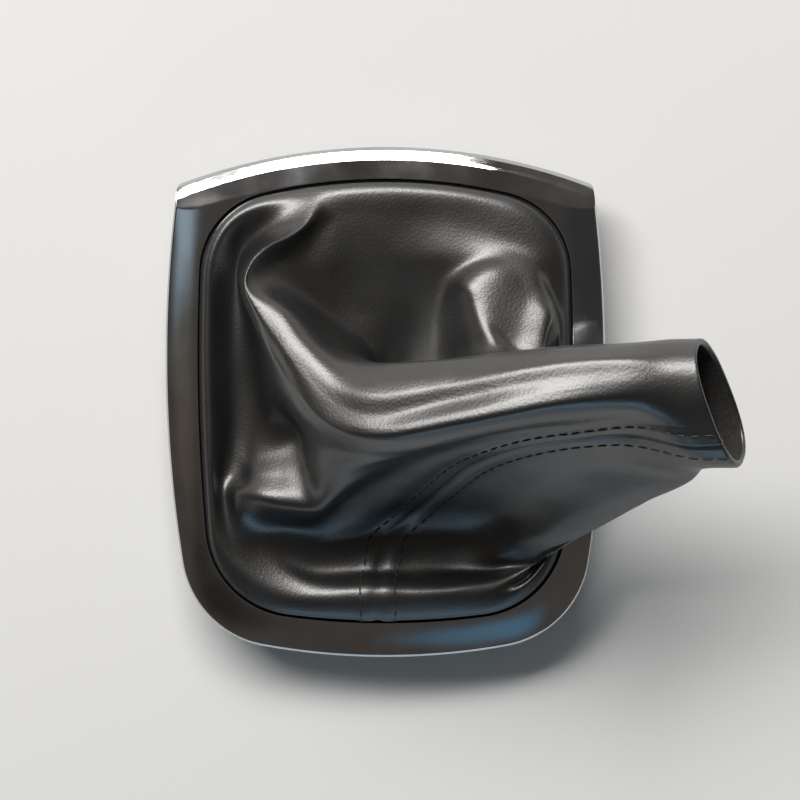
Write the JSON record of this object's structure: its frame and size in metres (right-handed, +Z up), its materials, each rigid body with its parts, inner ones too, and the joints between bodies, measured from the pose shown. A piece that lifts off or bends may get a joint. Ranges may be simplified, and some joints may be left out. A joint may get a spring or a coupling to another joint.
{
  "type": "gear lever gaiter",
  "caption": "Gear lever gaiter: a black leather sleeve folded over to one side, held in a chrome surround with pointed rear corners.",
  "frame": {"origin": "middle of the front edge of the surround's underside, where it seats on the console", "axes": "+Z up from the console, +X to the side that the sleeve's mouth points to, +Y towards the arched edge with the pointed corners"},
  "size_m": [0.1532, 0.1434, 0.0799],
  "materials": {
    "chrome": "polished plated plastic",
    "black_plastic": "matt moulded",
    "leather": "smooth fine grain with a soft sheen"
  },
  "bodies": {
    "root": {"chrome_surround": "chrome", "retaining_frame": "black_plastic", "leather_gaiter": "leather"}
  },
  "joints": []
}
